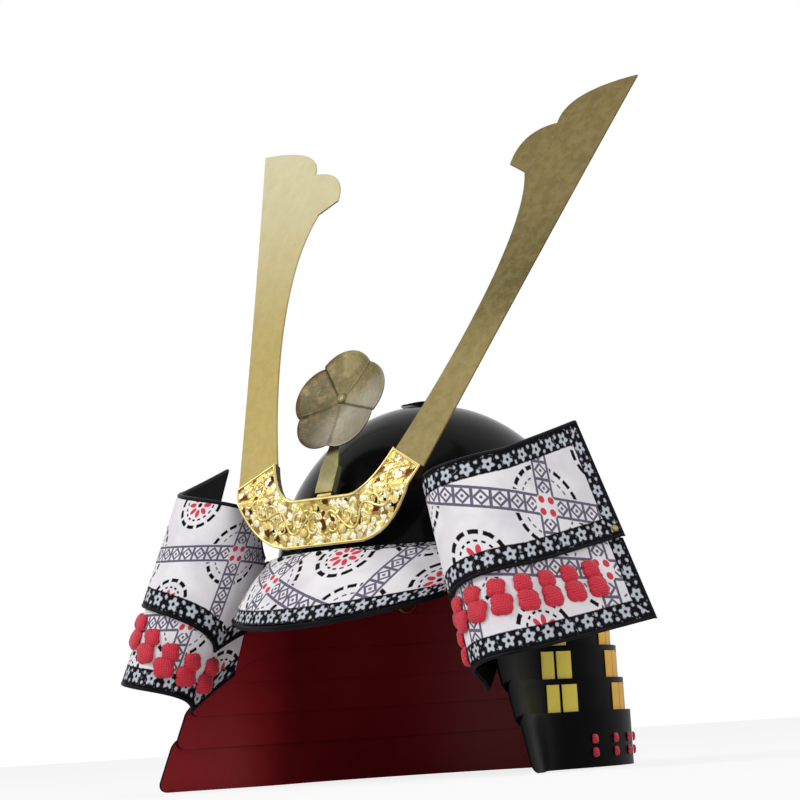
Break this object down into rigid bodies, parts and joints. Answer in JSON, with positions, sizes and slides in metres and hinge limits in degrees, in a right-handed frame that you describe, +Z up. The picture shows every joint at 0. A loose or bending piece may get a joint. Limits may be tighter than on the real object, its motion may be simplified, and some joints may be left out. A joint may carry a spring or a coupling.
{
  "type": "samurai helmet",
  "caption": "Samurai helmet: black bowl, printed visor and turnbacks, laced neck guard, tall sliding horns in a gilt holder and a flower crest.",
  "frame": {"origin": "centre of the plane of the bowl's rim, where the helmet seats on the head", "axes": "+Z up towards the crown, the visor looks along -Y, +X is the wearer's left"},
  "size_m": [0.4204, 0.3073, 0.4739],
  "materials": {
    "black_lacquer": "gloss",
    "black_edging": "satin",
    "brass_plate": "satin",
    "tarnished_brass": "satin",
    "gilt": "polished",
    "printed_leather": "matte",
    "yellow_silk": "matte",
    "crimson_silk": "matte",
    "hemp_lining": "matte",
    "strap_leather": "satin"
  },
  "bodies": {
    "helmet": {"bowl": "black_lacquer", "base_band": "black_lacquer", "rim_rivets": "black_lacquer", "apex_seat": "black_lacquer", "apex_collar": "black_lacquer", "visor": "black_lacquer", "visor_cover": "printed_leather", "visor_edging": "black_edging", "visor_rivets": "black_lacquer", "horn_holder": "gilt", "holder_rivets": "gilt", "crest_prong": "brass_plate", "pennant_staple": "brass_plate", "tie_staples": "brass_plate", "head_lining": "hemp_lining", "lining_band": "strap_leather", "neck_lame_1": "black_lacquer", "neck_lame_2": "black_lacquer", "upper_cover_left": "printed_leather", "upper_cover_right": "printed_leather", "lower_cover_left": "printed_leather", "lower_cover_right": "printed_leather", "upper_edging_left": "black_edging", "upper_edging_right": "black_edging", "lower_edging_left": "black_edging", "lower_edging_right": "black_edging", "turnback_knots_left": "crimson_silk", "turnback_knots_right": "crimson_silk", "turnback_studs": "brass_plate", "lacing_1": "yellow_silk", "lacing_2": "yellow_silk"},
    "horn_left_body": {"horn_left": "brass_plate"},
    "horn_right_body": {"horn_right": "brass_plate"},
    "crest": {"crest_stem": "tarnished_brass", "crest_flower": "tarnished_brass", "crest_rivet": "tarnished_brass"},
    "guard_3": {"neck_lame_3": "black_lacquer", "lacing_3": "yellow_silk"},
    "guard_4": {"neck_lame_4": "black_lacquer", "lacing_4": "yellow_silk"},
    "guard_5": {"neck_lame_5": "black_lacquer", "lacing_5": "yellow_silk"},
    "guard_6": {"neck_lame_6": "black_lacquer", "bottom_knots": "crimson_silk"},
    "pennant_loop": {"pennant_ring": "brass_plate"},
    "tie_front_left": {"tie_ring_front_left": "brass_plate"},
    "tie_front_right": {"tie_ring_front_right": "brass_plate"},
    "tie_back_left": {"tie_ring_back_left": "brass_plate"},
    "tie_back_right": {"tie_ring_back_right": "brass_plate"}
  },
  "joints": [
    {"name": "horn_left_slide", "type": "slide", "parent": "helmet", "child": "horn_left_body", "axis": [0.4226, 0.4532, 0.7849], "range_m": [0, 0.03]},
    {"name": "horn_right_slide", "type": "slide", "parent": "helmet", "child": "horn_right_body", "axis": [-0.4226, 0.4532, 0.7849], "range_m": [0, 0.03]},
    {"name": "crest_slide", "type": "slide", "parent": "helmet", "child": "crest", "axis": [0, 0.4226, 0.9063], "range_m": [0, 0.026]},
    {"name": "lame_3_lift", "type": "slide", "parent": "helmet", "child": "guard_3", "axis": [0, 0, 1], "range_m": [0, 0.01]},
    {"name": "lame_4_lift", "type": "slide", "parent": "guard_3", "child": "guard_4", "axis": [0, 0, 1], "range_m": [0, 0.01]},
    {"name": "lame_5_lift", "type": "slide", "parent": "guard_4", "child": "guard_5", "axis": [0, 0, 1], "range_m": [0, 0.01]},
    {"name": "lame_6_lift", "type": "slide", "parent": "guard_5", "child": "guard_6", "axis": [0, 0, 1], "range_m": [0, 0.01]},
    {"name": "pennant_ring_hinge", "type": "hinge", "parent": "helmet", "child": "pennant_loop", "pos_m": [0, 0.09599, 0.07764], "axis": [1, 0, 0], "range_deg": [0, 178]},
    {"name": "tie_ring_front_left_hinge", "type": "hinge", "parent": "helmet", "child": "tie_front_left", "pos_m": [0.0818, -0.07068, -0.004], "axis": [0.5777, 0.8162, 0], "range_deg": [-4, 80]},
    {"name": "tie_ring_back_left_hinge", "type": "hinge", "parent": "helmet", "child": "tie_back_left", "pos_m": [0.0818, 0.07068, -0.004], "axis": [-0.5777, 0.8162, 0], "range_deg": [-4, 80]},
    {"name": "tie_ring_front_right_hinge", "type": "hinge", "parent": "helmet", "child": "tie_front_right", "pos_m": [-0.0818, -0.07068, -0.004], "axis": [0.5777, -0.8162, 0], "range_deg": [-4, 80]},
    {"name": "tie_ring_back_right_hinge", "type": "hinge", "parent": "helmet", "child": "tie_back_right", "pos_m": [-0.0818, 0.07068, -0.004], "axis": [-0.5777, -0.8162, 0], "range_deg": [-4, 80]}
  ]
}
